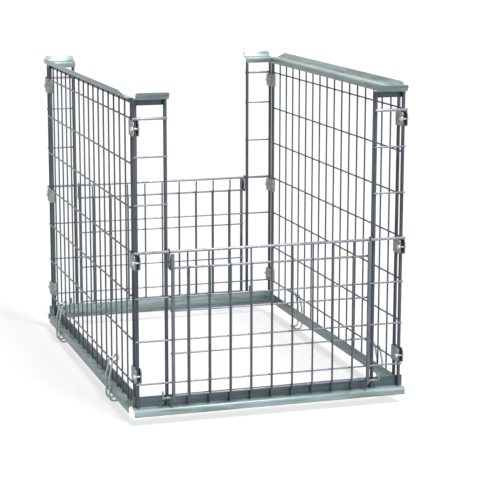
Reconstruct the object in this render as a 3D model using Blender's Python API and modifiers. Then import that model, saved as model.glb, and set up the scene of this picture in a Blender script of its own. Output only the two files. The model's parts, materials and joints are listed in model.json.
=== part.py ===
"""Wire mesh pallet collar for an 800 x 1200 mm pallet.

Four welded mesh walls stand on the pallet deck in bent sheet rails. Three bolted clamps at each corner
hold a wall's end bar beside its neighbour's outer bar and let the walls fold about it. The front and
back walls are open above half height, and a gate hangs on a hinge rod outside each one. Four bent wire
hooks turn on the lowest side wires and grip the underside of the deck boards.

Metres, +Z up. The origin is below the middle of the collar, level with the feet of the pallet hooks.
Each wall is modelled in its own frame: X runs along the wall, -Y points out of the collar, and Z is
measured from the top of the pallet deck.
"""

import math

import bmesh
import bpy
from mathutils import Matrix, Vector

MM = 0.001

# Pallet deck that the collar stands on
DECK_WIDTH = 800 * MM
DECK_LENGTH = 1200 * MM
RAIL_LIP_PLAY = 1.5 * MM
STACK_PLAY = 1 * MM

# Stock
BAR_D = 10 * MM
ROD_D = 8 * MM
WIRE_D = 5 * MM
HOOK_WIRE_D = 6 * MM
LATCH_WIRE_D = 6 * MM
SHEET = 2.5 * MM
SEAT_GAP = 0.3 * MM
WELD_DEPTH = 0.25 * MM
MERGE = 0.01 * MM

# Heights above the deck
COLLAR_HEIGHT = 853 * MM
KEEPER_DROP = 54 * MM
LOWEST_WIRE = 70.5 * MM
FRONT_WIRE_PITCH = 120 * MM
STRIP_TOP_GAP = 103 * MM
GATE_FOOT_HEIGHT = 22 * MM
GATE_TOP_PLAY = 2 * MM

# Walls
BAR_SETBACK = 15.5 * MM
CORNER_PITCH = 33.5 * MM
STRIP_WIDTH = 82.5 * MM
SIDE_LEVELS = 7
SIDE_UPRIGHTS = 16
FRONT_UPRIGHTS = 9
STRIP_WIRES = 2
ROD_OVERHANG = 4 * MM
WIRE_OVERHANG = 1 * MM

# Bent sheet rails
BASE_WEB_HEIGHT = 33 * MM
LIP_DEPTH = 18.5 * MM
LIP_BEND_RADIUS = 4 * MM
FOLD_RADIUS = 1.75 * MM
TOP_WEB_DEPTH = 20 * MM
TOP_BEND_RADIUS = 4 * MM
FLARE_RISE = 17.5 * MM
FLARE_RUN = 10 * MM
FLARE_CUTBACK = 48 * MM
SIDE_RAIL_OVERRUN = 7 * MM
FRONT_RAIL_OVERRUN = 13.5 * MM
CAP_OUTER_OVERRUN = 3.5 * MM
CAP_GATE_GAP = 1.5 * MM
CAP_CORNER = 6 * MM

# Gates
GATE_SIDE_GAP = 7 * MM
GATE_SLIDE = -4 * MM
GATE_STANDOFF = 2 * MM
GATE_UPRIGHTS = 9
GATE_END_BAY = 47 * MM
GATE_LEVELS = 4
GATE_TOP_WIRE_DROP = 44.5 * MM
GATE_BOTTOM_WIRE_RISE = 12.5 * MM
EYE_THICKNESS = 2.2 * MM
EYE_RIM = 4.5 * MM
EYE_FOOT = 9 * MM
EYE_PLAY = 0.4 * MM
LATCH_RISE = 6 * MM
LATCH_SET_OUT = 8 * MM
LATCH_REACH = 16 * MM
LATCH_LEG = 22 * MM
LATCH_BEND = 4 * MM

# Corner clamps
CLAMP_HEIGHT = 42 * MM
CLAMP_SHEET = 3 * MM
CLAMP_BORE_PLAY = 0.7 * MM
CLAMP_WAIST = 2 * MM
CLAMP_FLANGE = 5.5 * MM
CLAMP_CORNER = 9 * MM
CLAMP_WIRE_GAP = 0.8 * MM
BOLT_D = 6 * MM
BOLT_PLAY = 0.5 * MM
BOLT_HEAD_D = 13 * MM
BOLT_FACE_D = 8 * MM
BOLT_HEAD_HEIGHT = 6 * MM
BOLT_HEAD_SINK = 0.5 * MM
BOLT_TIP = 3.5 * MM

# Pallet hooks
HOOK_WIDTH = 40 * MM
HOOK_BAYS = (13, 2)
HOOK_LIP_GAP = 0.8 * MM
HOOK_SEAT_GAP = 0.3 * MM
HOOK_DEPTH = 42 * MM
HOOK_FOOT_REACH = 20 * MM
HOOK_BEND = 3 * MM
HOOK_CORNER = 4 * MM
HANDLE_RISE = 36 * MM
HANDLE_REACH = 22 * MM

# Facets round a bar, a wire, a bolt head, a clamp's end, a bend and the end of an eye
BAR_SIDES = 8
WIRE_SIDES = 6
HEAD_SIDES = 12
CLAMP_STEPS = 5
BEND_STEPS = 3
END_STEPS = 6

# Values that follow from the sizes above
BAR_R = BAR_D / 2
ROD_R = ROD_D / 2
WIRE_R = WIRE_D / 2
DECK_Z = HOOK_DEPTH + HOOK_WIRE_D / 2
HALF_X = DECK_WIDTH / 2 - BAR_SETBACK
HALF_Y = DECK_LENGTH / 2 - BAR_SETBACK
SIDE_END = HALF_Y - CORNER_PITCH
INNER_BAR = HALF_X - STRIP_WIDTH
GATE_BAR = INNER_BAR - BAR_D - GATE_SIDE_GAP
GATE_UPRIGHT_PITCH = 2 * (GATE_BAR - GATE_END_BAY) / (GATE_UPRIGHTS - 1)
KEEPER_Z = COLLAR_HEIGHT - KEEPER_DROP
ROD_Z = (COLLAR_HEIGHT + GATE_FOOT_HEIGHT - GATE_TOP_PLAY) / 2
LEVEL_PITCH = (KEEPER_Z - LOWEST_WIRE) / (SIDE_LEVELS - 1)
FOOT_Z = SHEET + SEAT_GAP
HEAD_Z = COLLAR_HEIGHT - SHEET / 2 - TOP_BEND_RADIUS

# Distances out of the wall from the plane of the bars
WEB_OUT = -(BAR_R + SEAT_GAP + SHEET / 2)
LIP_OUT = BAR_SETBACK + RAIL_LIP_PLAY + SHEET / 2
FLARE_OUT = BAR_SETBACK + STACK_PLAY + SHEET / 2
WIRE_OUT = BAR_R + SEAT_GAP + WIRE_R
UPRIGHT_OUT = WIRE_OUT - WIRE_D + WELD_DEPTH
ROD_OUT = BAR_R + SEAT_GAP + ROD_R
GATE_WIRE_OUT = WIRE_OUT + WIRE_D + GATE_STANDOFF
GATE_UPRIGHT_OUT = GATE_WIRE_OUT + WIRE_D - WELD_DEPTH
GATE_BAR_OUT = GATE_WIRE_OUT + WIRE_R + SEAT_GAP + BAR_R
TOP_RADII = (0, TOP_BEND_RADIUS, FOLD_RADIUS, 0)

COLOURS = {
    "bar": ((0.17, 0.19, 0.21), 0.42),
    "wire": ((0.33, 0.37, 0.38), 0.38),
    "rod": ((0.46, 0.47, 0.50), 0.34),
    "rail": ((0.42, 0.50, 0.52), 0.36),
    "clamp": ((0.30, 0.33, 0.35), 0.40),
    "hook": ((0.62, 0.65, 0.66), 0.40),
}


def clear_scene():
    """Remove every object of the open file."""
    for obj in list(bpy.data.objects):
        bpy.data.objects.remove(obj, do_unlink=True)


def new_collection(name):
    collection = bpy.data.collections.new(name)
    bpy.context.scene.collection.children.link(collection)
    return collection


def zinc(name, finish):
    """A galvanised finish of its own for one piece."""
    colour, roughness = COLOURS[finish]
    material = bpy.data.materials.new(name + "_zinc")
    material.use_nodes = True
    shader = material.node_tree.nodes["Principled BSDF"]
    shader.inputs["Base Color"].default_value = (*colour, 1.0)
    shader.inputs["Roughness"].default_value = roughness
    shader.inputs["Metallic"].default_value = 0.9
    return material


def add_object(name, data, collection, finish=None):
    obj = bpy.data.objects.new(name, data)
    collection.objects.link(obj)
    if finish is not None:
        data.materials.clear()
        data.materials.append(zinc(name, finish))
    return obj


def make_cutter(obj):
    obj.hide_render = True
    obj.display_type = "WIRE"


def boolean(obj, operation, other):
    modifier = obj.modifiers.new(operation.lower(), "BOOLEAN")
    modifier.operation = operation
    modifier.solver = "EXACT"
    modifier.object = other


def evaluated_mesh(obj):
    """The mesh of an object with its modifiers in place."""
    graph = bpy.context.evaluated_depsgraph_get()
    return bpy.data.meshes.new_from_object(obj.evaluated_get(graph))


class Frame:
    """The frame of a wall, and the empty that its pieces hang from."""

    def __init__(self, name, wall, anchor, parent=None):
        self.wall = wall
        self.empty = bpy.data.objects.new(name, None)
        self.empty.empty_display_size = 0.05
        bpy.context.scene.collection.objects.link(self.empty)
        self.world = wall @ Matrix.Translation(anchor)
        self.empty.matrix_world = self.world
        if parent is not None:
            self.empty.parent = parent.empty
            self.empty.matrix_parent_inverse = parent.world.inverted()
            self.empty.matrix_basis = self.world

    def hold(self, obj):
        """Hang a piece drawn in the wall's frame from the empty, with its origin on the empty."""
        obj.data.transform(self.world.inverted() @ self.wall)
        obj.parent = self.empty


def wall_matrix(turn, half):
    """A wall's frame: turned about Z, half the collar away from the middle, at deck height."""
    return Matrix.Rotation(turn, 4, "Z") @ Matrix.Translation((0, -half, DECK_Z))


def along_x(start, end, out, z):
    """A matrix and a length for a rod along the wall."""
    middle = Matrix.Translation(((start + end) / 2, -out, z))
    return middle @ Matrix.Rotation(math.pi / 2, 4, "Y"), end - start


def upright(x, out, low, high):
    """A matrix and a length for a standing rod."""
    return Matrix.Translation((x, -out, (low + high) / 2)), high - low


def rods(name, pieces, diameter, sides):
    """One mesh of round rods, each drawn with flats of the given width facing out of the wall."""
    bm = bmesh.new()
    radius = diameter / 2 / math.cos(math.pi / sides)
    for matrix, length in pieces:
        bmesh.ops.create_cone(
            bm, cap_ends=True, segments=sides, radius1=radius, radius2=radius, depth=length,
            matrix=matrix @ Matrix.Rotation(math.pi / sides, 4, "Z"),
        )
    mesh = bpy.data.meshes.new(name)
    bm.to_mesh(mesh)
    bm.free()
    mesh.shade_smooth()
    mesh.set_sharp_from_angle(angle=math.radians(50))
    return mesh


def bar(name, frame, placed, diameter, finish):
    """A single straight rod."""
    obj = add_object(name, rods(name, [placed], diameter, BAR_SIDES), PARTS, finish)
    frame.hold(obj)
    return obj


def welded(name, frame, first, second, finish):
    """Two sets of rods that cross, welded into one piece where they bite into each other."""
    obj = add_object(name, rods(name, *first), PARTS, finish)
    other = add_object(name + "_crossing", rods(name + "_crossing", *second), CUTTERS)
    make_cutter(other)
    frame.hold(obj)
    frame.hold(other)
    boolean(obj, "UNION", other)
    return obj


def arc(centre, radius, start, end, steps):
    """Points on an arc in the plane across the wall, angles in degrees from straight out."""
    points = []
    for i in range(steps + 1):
        angle = math.radians(start + (end - start) * i / steps)
        points.append((centre[0] + radius * math.cos(angle), centre[1] + radius * math.sin(angle)))
    return points


def fillet(before, corner, after, radius, steps):
    """Points on the arc that rounds a corner of a flat path."""
    if radius == 0:
        return [corner]
    corner = Vector(corner)
    ahead = (Vector(after) - corner).normalized()
    behind = (Vector(before) - corner).normalized()
    half_angle = ahead.angle(behind) / 2
    centre = corner + (ahead + behind).normalized() * radius / math.sin(half_angle)
    start = corner + behind * radius / math.tan(half_angle) - centre
    end = corner + ahead * radius / math.tan(half_angle) - centre
    turned = [start.slerp(end, i / steps).normalized() for i in range(steps + 1)]
    return [tuple(centre + direction * radius) for direction in turned]


def bent_sheet(name, path, half_lengths, radii, middle=0.0, rounded_corner=0.0):
    """A sheet bent along a path of (out, z) points, with a half length and a bend radius at each."""
    line = [(path[0], half_lengths[0])]
    for i in range(1, len(path) - 1):
        bend = fillet(path[i - 1], path[i], path[i + 1], radii[i], BEND_STEPS)
        line.append((bend[0], half_lengths[i - 1]))
        line += [(point, half_lengths[i]) for point in bend[1:]]
    line.append((path[-1], half_lengths[-1]))
    bm = bmesh.new()
    verts = []
    for (out, z), half in line:
        verts.append(bm.verts.new((middle - half, -out, z)))
    edges = [bm.edges.new(pair) for pair in zip(verts, verts[1:])]
    drawn = bmesh.ops.extrude_edge_only(bm, edges=edges)["geom"]
    for vert in [v for v in drawn if isinstance(v, bmesh.types.BMVert)]:
        vert.co.x = 2 * middle - vert.co.x
    if rounded_corner:
        top = max(v.co.z for v in bm.verts)
        corners = [v for v in bm.verts if v.co.z > top - SEAT_GAP]
        bmesh.ops.bevel(
            bm, geom=corners, offset=rounded_corner, segments=3, profile=0.5, affect="VERTICES", material=-1
        )
    bmesh.ops.recalc_face_normals(bm, faces=bm.faces)
    mesh = bpy.data.meshes.new(name)
    bm.to_mesh(mesh)
    bm.free()
    obj = add_object(name, mesh, PARTS, "rail")
    wall = obj.modifiers.new("thickness", "SOLIDIFY")
    wall.thickness = SHEET
    wall.offset = 0.0
    wall.use_even_offset = True
    return obj


def base_rail(name, frame, half, lip_half):
    """Web up behind the bars, ledge over the deck, lip down outside its edge."""
    ledge = SHEET / 2
    path = [(WEB_OUT, BASE_WEB_HEIGHT), (WEB_OUT, ledge), (LIP_OUT, ledge), (LIP_OUT, -LIP_DEPTH)]
    halves = [half, half, lip_half, lip_half]
    frame.hold(bent_sheet(name, path, halves, [0, FOLD_RADIUS, LIP_BEND_RADIUS, 0]))


def top_path():
    """Web down behind the bars, ledge over their heads, flare up and out to guide a pallet."""
    ledge = COLLAR_HEIGHT - SHEET / 2
    flare = (FLARE_OUT + FLARE_RUN, ledge + FLARE_RISE)
    return [(WEB_OUT, COLLAR_HEIGHT - TOP_WEB_DEPTH), (WEB_OUT, ledge), (FLARE_OUT, ledge), flare]


def top_rail(name, frame):
    full = SIDE_END + SIDE_RAIL_OVERRUN
    halves = [full, full, full, full - FLARE_CUTBACK]
    frame.hold(bent_sheet(name, top_path(), halves, TOP_RADII))


def cap(name, frame, side):
    """The short top rail over one strip of the front or back wall."""
    inner = GATE_BAR + abs(GATE_SLIDE) + BAR_R + CAP_GATE_GAP
    outer = HALF_X + CAP_OUTER_OVERRUN
    halves = [(outer - inner) / 2] * len(top_path())
    middle = side * (inner + outer) / 2
    frame.hold(bent_sheet(name, top_path(), halves, TOP_RADII, middle, CAP_CORNER))


def spread(count, half):
    """Places of evenly spaced uprights between two bars."""
    pitch = 2 * half / (count + 1)
    return [-half + pitch * (i + 1) for i in range(count)]


def side_wall(name, frame):
    """A full mesh wall between two end bars."""
    base_rail(name + "_base_rail", frame, SIDE_END + SIDE_RAIL_OVERRUN, SIDE_END)
    top_rail(name + "_top_rail", frame)
    reach = SIDE_END + BAR_R + WIRE_OVERHANG
    levels = [along_x(-reach, reach, WIRE_OUT, LOWEST_WIRE + i * LEVEL_PITCH) for i in range(SIDE_LEVELS)]
    uprights = [upright(x, UPRIGHT_OUT, FOOT_Z, HEAD_Z) for x in spread(SIDE_UPRIGHTS, SIDE_END)]
    welded(name + "_mesh", frame, (uprights, WIRE_D, WIRE_SIDES), (levels, WIRE_D, WIRE_SIDES), "wire")


def end_bar(name, frame, side):
    bar(name, frame, upright(side * SIDE_END, 0, FOOT_Z, HEAD_Z), BAR_D, "bar")


def strip(name, frame, side):
    """The narrow full-height strip beside the open middle: outer bar, inner bar and two short wires."""
    bars = [upright(side * x, 0, FOOT_Z, HEAD_Z) for x in (HALF_X, INNER_BAR)]
    ends = sorted((side * (HALF_X + BAR_R + WIRE_OVERHANG), side * (INNER_BAR - BAR_R + WIRE_OVERHANG)))
    pitch = (KEEPER_Z - STRIP_TOP_GAP - ROD_Z) / STRIP_WIRES
    out = WIRE_OUT - SEAT_GAP - WELD_DEPTH
    wires = [along_x(*ends, out, ROD_Z + pitch * (i + 1)) for i in range(STRIP_WIRES)]
    welded(name, frame, (bars, BAR_D, BAR_SIDES), (wires, WIRE_D, WIRE_SIDES), "bar")


def keeper_rod(name, frame, side):
    """The thick rod across the top of a strip, which the gate's latch drops over."""
    outer = side * (HALF_X + BAR_R + ROD_OVERHANG)
    inner = side * (INNER_BAR - BAR_R + WIRE_OVERHANG)
    bar(name, frame, along_x(*sorted((outer, inner)), ROD_OUT, KEEPER_Z), ROD_D, "rod")


def lower_mesh(name, frame):
    """The fixed mesh under the hinge rod."""
    reach = HALF_X + BAR_R + WIRE_OVERHANG
    count = round((ROD_Z - LOWEST_WIRE) / FRONT_WIRE_PITCH)
    levels = [along_x(-reach, reach, WIRE_OUT, LOWEST_WIRE + i * FRONT_WIRE_PITCH) for i in range(count)]
    places = spread(FRONT_UPRIGHTS, INNER_BAR)
    uprights = [upright(x, UPRIGHT_OUT, FOOT_Z, ROD_Z - ROD_R - SEAT_GAP) for x in places]
    welded(name, frame, (uprights, WIRE_D, WIRE_SIDES), (levels, WIRE_D, WIRE_SIDES), "wire")


def hinge_rod(name, frame):
    reach = HALF_X + BAR_R + ROD_OVERHANG
    bar(name, frame, along_x(-reach, reach, ROD_OUT, ROD_Z), ROD_D, "rod")


def gate_place(x):
    """Where a part of a gate is along the wall, with the gate slid to one side of its play."""
    return x + GATE_SLIDE


def gate_mesh(name, frame):
    """The mesh of a gate, its wires on the side that faces the wall while it hangs open."""
    top = ROD_Z - GATE_TOP_WIRE_DROP
    bottom = GATE_FOOT_HEIGHT + GATE_BOTTOM_WIRE_RISE
    pitch = (top - bottom) / (GATE_LEVELS - 1)
    ends = gate_place(-GATE_BAR - BAR_R), gate_place(GATE_BAR + BAR_R)
    levels = [along_x(*ends, GATE_WIRE_OUT, bottom + i * pitch) for i in range(GATE_LEVELS)]
    low = bottom - WIRE_R - WIRE_OVERHANG
    high = top + WIRE_R + WIRE_OVERHANG
    places = [gate_place((i - (GATE_UPRIGHTS - 1) / 2) * GATE_UPRIGHT_PITCH) for i in range(GATE_UPRIGHTS)]
    uprights = [upright(x, GATE_UPRIGHT_OUT, low, high) for x in places]
    welded(name, frame, (uprights, WIRE_D, WIRE_SIDES), (levels, WIRE_D, WIRE_SIDES), "wire")


def latch_drop():
    """How far a closed gate drops in its eyes before the latches rest on the keeper rods."""
    lifted = 2 * ROD_Z - (GATE_FOOT_HEIGHT + LATCH_RISE)
    return lifted - LATCH_WIRE_D / 2 - KEEPER_Z - ROD_R


def gate_eye(name, frame, side):
    """A flat strap with a long eye round the hinge rod, so that a closed gate can drop into its latches."""
    slot_r = ROD_R / math.cos(math.pi / BAR_SIDES) + EYE_PLAY
    low = ROD_Z - latch_drop()
    foot_out = GATE_BAR_OUT + BAR_R / 2
    foot = [(foot_out, low), (foot_out, low - EYE_FOOT), (ROD_OUT, low - EYE_FOOT)]
    outline = convex(slot_outline(slot_r + EYE_RIM, low, ROD_Z) + foot)
    flat = bpy.data.curves.new(name, "CURVE")
    flat.dimensions = "2D"
    flat.fill_mode = "BOTH"
    flat.extrude = EYE_THICKNESS / 2
    for points in (outline, slot_outline(slot_r, low, ROD_Z)):
        spline = flat.splines.new("POLY")
        spline.points.add(len(points) - 1)
        for point, (out, z) in zip(spline.points, points):
            point.co = (out, z, 0, 1)
        spline.use_cyclic_u = True
    drawn = add_object(name + "_outline", flat, CUTTERS)
    mesh = evaluated_mesh(drawn)
    bpy.data.objects.remove(drawn, do_unlink=True)
    place = gate_place(side * (GATE_BAR + BAR_R + SEAT_GAP + EYE_THICKNESS / 2))
    mesh.transform(Matrix.Translation((place, 0, 0)) @ upright_plane())
    weld_mesh(mesh)
    frame.hold(add_object(name, mesh, PARTS, "bar"))


def upright_plane():
    """Carries a flat outline of (out, z) points into the plane across the wall."""
    return Matrix(((0, 0, 1, 0), (-1, 0, 0, 0), (0, 1, 0, 0), (0, 0, 0, 1)))


def weld_mesh(mesh):
    """Close the loose caps of a mesh made from a curve and turn its faces out."""
    bm = bmesh.new()
    bm.from_mesh(mesh)
    bmesh.ops.remove_doubles(bm, verts=bm.verts, dist=MERGE)
    bmesh.ops.recalc_face_normals(bm, faces=bm.faces)
    bm.to_mesh(mesh)
    bm.free()


def slot_outline(radius, low, high):
    """A long hole's outline, round at both ends."""
    top = arc((ROD_OUT, high), radius, 0, 180, END_STEPS)
    return top + arc((ROD_OUT, low), radius, 180, 360, END_STEPS)


def convex(points):
    """The convex outline round a few flat points, in order."""
    def turn(a, b, c):
        return (b[0] - a[0]) * (c[1] - a[1]) - (b[1] - a[1]) * (c[0] - a[0])

    def chain(ordered):
        kept = []
        for point in ordered:
            while len(kept) > 1 and turn(kept[-2], kept[-1], point) <= 0:
                kept.pop()
            kept.append(point)
        return kept[:-1]

    ordered = sorted(set(points))
    return chain(ordered) + chain(ordered[::-1])


def bent_wire(name, points, diameter, frame, closed, finish):
    """A wire bent through (x, out, z) points."""
    wire = bpy.data.curves.new(name, "CURVE")
    wire.dimensions = "3D"
    wire.bevel_depth = diameter / 2
    wire.bevel_resolution = 1
    wire.use_fill_caps = True
    spline = wire.splines.new("POLY")
    spline.points.add(len(points) - 1)
    for point, (x, out, z) in zip(spline.points, points):
        point.co = (x, -out, z, 1)
    spline.use_cyclic_u = closed
    obj = add_object(name, wire, PARTS, finish)
    frame.hold(obj)


def gate_latch(name, frame, side):
    """A bent wire at a gate's foot. Closed, it reaches past the inner bar, over the keeper rod."""
    z = GATE_FOOT_HEIGHT + LATCH_RISE
    start_out = GATE_BAR_OUT - BAR_R - SEAT_GAP - LATCH_WIRE_D / 2
    leg_x = side * (INNER_BAR + LATCH_REACH)
    leg_out = ROD_OUT + LATCH_SET_OUT
    path = [
        (gate_place(side * (GATE_BAR - BAR_R)), start_out, z),
        (gate_place(side * (GATE_BAR + BAR_R / 2)), start_out, z),
        (side * (INNER_BAR - BAR_R + WIRE_OVERHANG), ROD_OUT, z),
        (side * (INNER_BAR + BAR_R), ROD_OUT, z),
        (leg_x - side * LATCH_BEND, leg_out - LATCH_BEND / 2, z),
        (leg_x - side * LATCH_BEND / 4, leg_out, z + LATCH_BEND / 3),
        (leg_x, leg_out, z + LATCH_BEND),
        (leg_x, leg_out, z + LATCH_LEG),
    ]
    bent_wire(name, path, LATCH_WIRE_D, frame, False, "bar")


def gate(name, frame, sides):
    """A half-height gate: mesh, two side bars, two hinge eyes and two latches."""
    gate_mesh(name + "_mesh", frame)
    for side, word in sides:
        top = ROD_Z - ROD_R
        bar(
            f"{name}_{word}_bar", frame,
            upright(gate_place(side * GATE_BAR), GATE_BAR_OUT, GATE_FOOT_HEIGHT, top), BAR_D, "bar",
        )
        gate_eye(f"{name}_{word}_eye", frame, side)
        gate_latch(f"{name}_{word}_latch", frame, side)


def gate_wall(name, frame, sides):
    """A wall with a fixed lower mesh, two strips and an open upper middle."""
    base_rail(name + "_base_rail", frame, HALF_X + FRONT_RAIL_OVERRUN, HALF_X + FRONT_RAIL_OVERRUN)
    hinge_rod(name + "_hinge_rod", frame)
    lower_mesh(name + "_lower_mesh", frame)
    for side, word in sides:
        strip(f"{name}_{word}_strip", frame, side)
        keeper_rod(f"{name}_{word}_keeper_rod", frame, side)
        cap(f"{name}_{word}_cap", frame, side)


def clamp_radius():
    """Middle radius of the strap round a bar. Each arc is under a third of a turn, so its facets clear."""
    bore = BAR_R / math.cos(math.pi / BAR_SIDES) + CLAMP_BORE_PLAY / 2
    return bore / math.cos(math.pi / (3 * CLAMP_STEPS)) + CLAMP_SHEET / 2


def bolt_place():
    """The bolt's distance in front of the outer bar, which it keeps in the strap's mouth."""
    return BAR_R / math.cos(math.pi / BAR_SIDES) + BOLT_PLAY + BOLT_D / 2


def clamp_plan():
    """The strap's middle line from above: round the end bar, pinched to a waist, past the outer bar."""
    radius = clamp_radius()
    waist = (CORNER_PITCH / 2, CLAMP_WAIST / 2 + CLAMP_SHEET / 2)
    touch = math.degrees(math.atan2(waist[1], waist[0]) + math.acos(radius / math.hypot(*waist)))
    half = arc((0, 0), radius, 180, touch, CLAMP_STEPS) + [waist]
    half += arc((CORNER_PITCH, 0), radius, 180 - touch, 90, 1)
    half += [(CORNER_PITCH + bolt_place() + CLAMP_FLANGE, radius)]
    return [(x, -y) for x, y in half[:0:-1]] + half


def clamp_strap():
    """The strap as an open sheet with rounded flanges, thickened by Solidify."""
    bm = bmesh.new()
    verts = [bm.verts.new((x, y, -CLAMP_HEIGHT / 2)) for x, y in clamp_plan()]
    edges = [bm.edges.new(pair) for pair in zip(verts, verts[1:])]
    drawn = bmesh.ops.extrude_edge_only(bm, edges=edges)["geom"]
    raised = [v for v in drawn if isinstance(v, bmesh.types.BMVert)]
    bmesh.ops.translate(bm, verts=raised, vec=(0, 0, CLAMP_HEIGHT))
    reach = max(v.co.x for v in bm.verts)
    corners = [v for v in bm.verts if v.co.x > reach - MERGE]
    bmesh.ops.bevel(
        bm, geom=corners, offset=CLAMP_CORNER, segments=3, profile=0.5, affect="VERTICES", material=-1
    )
    bmesh.ops.recalc_face_normals(bm, faces=bm.faces)
    mesh = bpy.data.meshes.new("clamp_strap")
    bm.to_mesh(mesh)
    bm.free()
    return mesh


def bolt_head(across, face):
    """A domed head on the strap's outer face, as a short cone."""
    bm = bmesh.new()
    height = BOLT_HEAD_HEIGHT + BOLT_HEAD_SINK
    middle = face - BOLT_HEAD_SINK + height / 2
    bmesh.ops.create_cone(
        bm, cap_ends=True, segments=HEAD_SIDES, radius1=BOLT_HEAD_D / 2, radius2=BOLT_FACE_D / 2,
        depth=height, matrix=across @ Matrix.Translation((0, 0, middle)),
    )
    mesh = bpy.data.meshes.new("clamp_bolt_head")
    bm.to_mesh(mesh)
    bm.free()
    return mesh


def clamp_shape():
    """The finished clamp, as a mesh that the twelve clamps share: strap, bolt and domed head."""
    strap = add_object("clamp_strap", clamp_strap(), CUTTERS)
    wall = strap.modifiers.new("thickness", "SOLIDIFY")
    wall.thickness = CLAMP_SHEET
    wall.offset = 0.0
    wall.use_even_offset = True
    across = Matrix.Translation((CORNER_PITCH + bolt_place(), 0, 0)) @ Matrix.Rotation(math.pi / 2, 4, "X")
    face = clamp_radius() + CLAMP_SHEET / 2
    middle = across @ Matrix.Translation((0, 0, -BOLT_TIP / 2))
    stem = rods("clamp_bolt", [(middle, 2 * face + BOLT_TIP)], BOLT_D, BAR_SIDES)
    bolt = add_object("clamp_bolt", stem, CUTTERS)
    head = add_object("clamp_bolt_head", bolt_head(across, face), CUTTERS)
    boolean(strap, "UNION", bolt)
    boolean(strap, "UNION", head)
    mesh = evaluated_mesh(strap)
    for cutter in (strap, bolt, head):
        make_cutter(cutter)
    return mesh


def clamp_levels():
    """Three clamps a corner: under the keeper rod, under the hinge rod and over the lowest wire."""
    under = CLAMP_WIRE_GAP + CLAMP_HEIGHT / 2
    half_way = LOWEST_WIRE + (SIDE_LEVELS // 2) * LEVEL_PITCH
    middle = min(ROD_Z - ROD_R, half_way - WIRE_R)
    return {
        "top": KEEPER_Z - ROD_R - under,
        "middle": middle - under,
        "bottom": LOWEST_WIRE + WIRE_R + under,
    }


def corner_clamps(name, frame, end, head, mesh):
    """Three clamps at one end of a side wall, their bolt heads outside (1) or inside (-1)."""
    for word, z in clamp_levels().items():
        obj = add_object(f"{name}_clamp_{word}", mesh.copy(), PARTS, "clamp")
        turned = Matrix.Diagonal((end, head, 1, 1))
        obj.data.transform(Matrix.Translation((end * SIDE_END, 0, z)) @ turned)
        if end * head < 0:
            obj.data.flip_normals()
        frame.hold(obj)


def hook_place(bay):
    """Middle of a bay of the side mesh, counted from the wall's left end as seen from outside."""
    pitch = 2 * SIDE_END / (SIDE_UPRIGHTS + 1)
    return -SIDE_END + pitch * (bay + 0.5)


def hook_side_view():
    """One leg of a pallet hook from its handle to its foot, as (out, z) points."""
    wire_r = WIRE_R / math.cos(math.pi / WIRE_SIDES)
    saddle_r = wire_r + HOOK_SEAT_GAP + HOOK_WIRE_D / 2
    pivot = (WIRE_OUT, LOWEST_WIRE)
    leg_out = LIP_OUT + SHEET / 2 + HOOK_LIP_GAP + HOOK_WIRE_D / 2
    knee = -LIP_DEPTH - 3 * HOOK_BEND
    path = [(pivot[0] - HANDLE_REACH, pivot[1] + HANDLE_RISE)]
    path += arc(pivot, saddle_r, 160, 0, 5)
    path += [
        (leg_out, SHEET + HOOK_WIRE_D / 2),
        (leg_out, knee),
        (leg_out - HOOK_BEND, knee - 2 * HOOK_BEND),
        (leg_out - 3 * HOOK_BEND, -HOOK_DEPTH + HOOK_BEND / 3),
        (leg_out - HOOK_FOOT_REACH, -HOOK_DEPTH),
        (leg_out - HOOK_FOOT_REACH - 2 * HOOK_BEND, -HOOK_DEPTH + HOOK_BEND),
    ]
    return path


def pallet_hook(name, frame, x):
    """A loop of wire bent over the lowest side wire: legs outside the lip, handle inside the mesh."""
    half = HOOK_WIDTH / 2
    side_view = hook_side_view()
    leg = shortened(side_view, HOOK_CORNER)
    handle, foot = side_view[0], side_view[-1]
    loop = [(x - half + HOOK_CORNER, *handle)]
    loop += [(x - half, *point) for point in leg]
    loop += [(x - half + HOOK_CORNER, *foot), (x + half - HOOK_CORNER, *foot)]
    loop += [(x + half, *point) for point in leg[::-1]]
    loop += [(x + half - HOOK_CORNER, *handle)]
    bent_wire(name, loop, HOOK_WIRE_D, frame, True, "hook")


def shortened(path, cut):
    """The path with both ends drawn back, to round the corners of the loop."""
    first = Vector(path[0]) + (Vector(path[1]) - Vector(path[0])).normalized() * cut
    last = Vector(path[-1]) + (Vector(path[-2]) - Vector(path[-1])).normalized() * cut
    return [tuple(first)] + path[1:-1] + [tuple(last)]


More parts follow.
